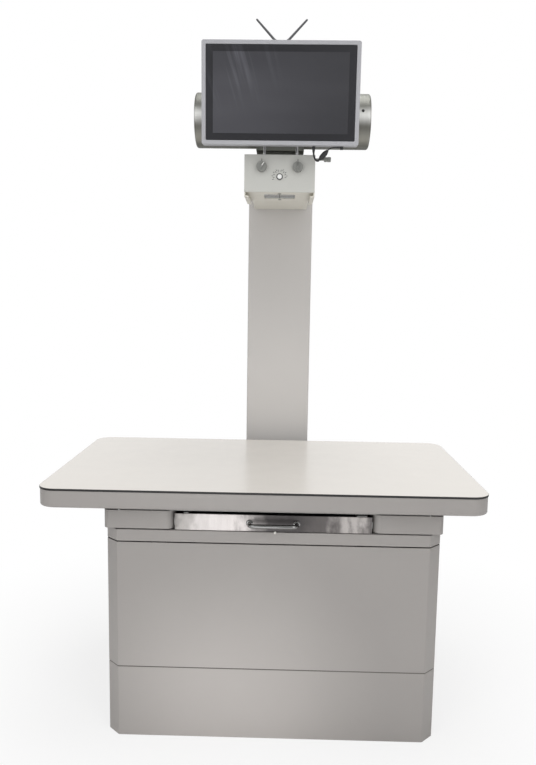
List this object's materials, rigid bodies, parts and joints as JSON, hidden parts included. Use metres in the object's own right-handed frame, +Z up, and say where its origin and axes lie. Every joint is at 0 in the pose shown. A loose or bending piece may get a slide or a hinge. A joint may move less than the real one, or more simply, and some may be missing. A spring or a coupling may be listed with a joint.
{
  "type": "radiography table",
  "caption": "Fixed radiography table: grey cabinet with a floating tabletop, a detector drawer and a rear column that carries an X-ray tube, a collimator and a tilting monitor.",
  "frame": {"origin": "on the floor under the middle of the cabinet, at the underside of the base pan", "axes": "+Z up, front of the cabinet towards -Y, +X to the right when seen from the front"},
  "size_m": [1.2, 0.897, 1.9693],
  "materials": {
    "base_paint": "satin warm grey powder coat",
    "column_paint": "satin light grey powder coat",
    "head_paint": "satin pale grey enamel",
    "zinc_steel": "zinc plated sheet steel",
    "stainless": "brushed stainless steel",
    "tube_steel": "satin turned steel",
    "chrome": "polished chrome",
    "mirror": "front surface mirror",
    "white_laminate": "soft gloss white compact laminate with a black core",
    "dark_steel": "dark grey painted steel",
    "lead": "dull lead",
    "detector_black": "matte black composite",
    "silver_frame": "fine silver paint",
    "dark_glass": "dark cover glass with a black border",
    "clear_glass": "clear",
    "black_rubber": "matte black",
    "grey_plastic": "satin grey",
    "white_plastic": "gloss white"
  },
  "bodies": {
    "base": {"accessory_rail_left": "head_paint", "accessory_rail_right": "head_paint", "base_pan": "zinc_steel", "collimator_face": "head_paint", "collimator_shell": "head_paint", "column": "column_paint", "column_cap": "grey_plastic", "cross_rail_left": "stainless", "cross_rail_right": "stainless", "deck_plate": "zinc_steel", "drawer_slide_left": "zinc_steel", "drawer_slide_right": "zinc_steel", "exit_window": "clear_glass", "field_lamp": "white_plastic", "field_mirror": "mirror", "front_cover": "base_paint", "header_band": "base_paint", "left_shoulder_cover": "base_paint", "left_side_cover": "base_paint", "left_upright": "zinc_steel", "monitor_bracket": "dark_steel", "plinth_cover": "base_paint", "power_unit": "zinc_steel", "rear_cover": "base_paint", "right_shoulder_cover": "base_paint", "right_side_cover": "base_paint", "right_upright": "zinc_steel", "support_arm": "head_paint", "tilt_pin": "chrome", "tube_cradle": "dark_steel", "tube_end_cap_left": "tube_steel", "tube_end_cap_right": "tube_steel", "tube_housing": "tube_steel", "xray_tube_insert": "clear_glass"},
    "carriage": {"cross_carriage": "zinc_steel"},
    "tabletop": {"tabletop_panel": "white_laminate", "tabletop_frame": "base_paint"},
    "drawer": {"drawer_front": "stainless", "drawer_handle": "chrome", "detector_tray": "stainless", "flat_panel_detector": "detector_black", "anti_scatter_grid": "lead"},
    "leaf_left": {"shutter_leaf_left": "lead"},
    "leaf_right": {"shutter_leaf_right": "lead"},
    "leaf_front": {"shutter_leaf_front": "lead"},
    "leaf_rear": {"shutter_leaf_rear": "lead"},
    "knob_left": {"aperture_knob_left": "grey_plastic"},
    "knob_right": {"aperture_knob_right": "grey_plastic"},
    "button": {"lamp_button": "white_plastic"},
    "lock": {"lock_knob": "grey_plastic"},
    "monitor": {"monitor_bezel": "silver_frame", "monitor_back": "silver_frame", "screen_glass": "dark_glass", "lead_gland": "black_rubber", "lead_socket": "black_rubber", "monitor_lead": "black_rubber", "monitor_lead_thin": "black_rubber", "suppressor_bead": "black_rubber"},
    "antenna_l": {"antenna_left": "black_rubber"},
    "antenna_r": {"antenna_right": "black_rubber"}
  },
  "joints": [
    {"name": "table_cross_slide", "type": "slide", "parent": "base", "child": "carriage", "axis": [0, 1, 0], "range_m": [-0.07, 0.075]},
    {"name": "table_long_slide", "type": "slide", "parent": "carriage", "child": "tabletop", "axis": [1, 0, 0], "range_m": [-0.121, 0.179]},
    {"name": "drawer_pull", "type": "slide", "parent": "base", "child": "drawer", "axis": [0, -1, 0], "range_m": [0, 0.36]},
    {"name": "width_knob", "type": "hinge", "parent": "base", "child": "knob_left", "pos_m": [-0.0505, -0.155, 1.5897], "axis": [0, 1, 0], "range_deg": [-46, 141]},
    {"name": "length_knob", "type": "hinge", "parent": "base", "child": "knob_right", "pos_m": [0.0505, -0.155, 1.5897], "axis": [0, 1, 0], "range_deg": [-46, 141]},
    {"name": "leaf_left_slide", "type": "slide", "parent": "base", "child": "leaf_left", "axis": [1, 0, 0], "range_m": [-0.009, 0.028]},
    {"name": "leaf_right_slide", "type": "slide", "parent": "base", "child": "leaf_right", "axis": [-1, 0, 0], "range_m": [-0.009, 0.028]},
    {"name": "leaf_front_slide", "type": "slide", "parent": "base", "child": "leaf_front", "axis": [0, 1, 0], "range_m": [-0.009, 0.028]},
    {"name": "leaf_rear_slide", "type": "slide", "parent": "base", "child": "leaf_rear", "axis": [0, -1, 0], "range_m": [-0.009, 0.028]},
    {"name": "lamp_press", "type": "slide", "parent": "base", "child": "button", "axis": [0, 1, 0], "range_m": [0, 0.003], "stiffness_N_per_m": 600, "springref_m": -0.002},
    {"name": "lock_turn", "type": "hinge", "parent": "base", "child": "lock", "pos_m": [0.099, -0.12, 1.6177], "axis": [1, 0, 0], "range_deg": [-180, 180]},
    {"name": "monitor_tilt", "type": "hinge", "parent": "base", "child": "monitor", "pos_m": [0, -0.172, 1.772], "axis": [1, 0, 0], "range_deg": [-12, 12]},
    {"name": "antenna_left_fold", "type": "hinge", "parent": "monitor", "child": "antenna_l", "pos_m": [-0.0065, -0.19317, 1.90213], "axis": [0, 0.9988, 0.048], "range_deg": [-40, 40]},
    {"name": "antenna_right_fold", "type": "hinge", "parent": "monitor", "child": "antenna_r", "pos_m": [0.0065, -0.19317, 1.90213], "axis": [0, 0.9988, 0.048], "range_deg": [-40, 40]}
  ],
  "couplings": [
    {"joint": "width_knob", "follows": "leaf_left_slide", "rad_per_m": 87.266},
    {"joint": "leaf_right_slide", "follows": "leaf_left_slide", "ratio": 1},
    {"joint": "length_knob", "follows": "leaf_front_slide", "rad_per_m": 87.266},
    {"joint": "leaf_rear_slide", "follows": "leaf_front_slide", "ratio": 1}
  ]
}
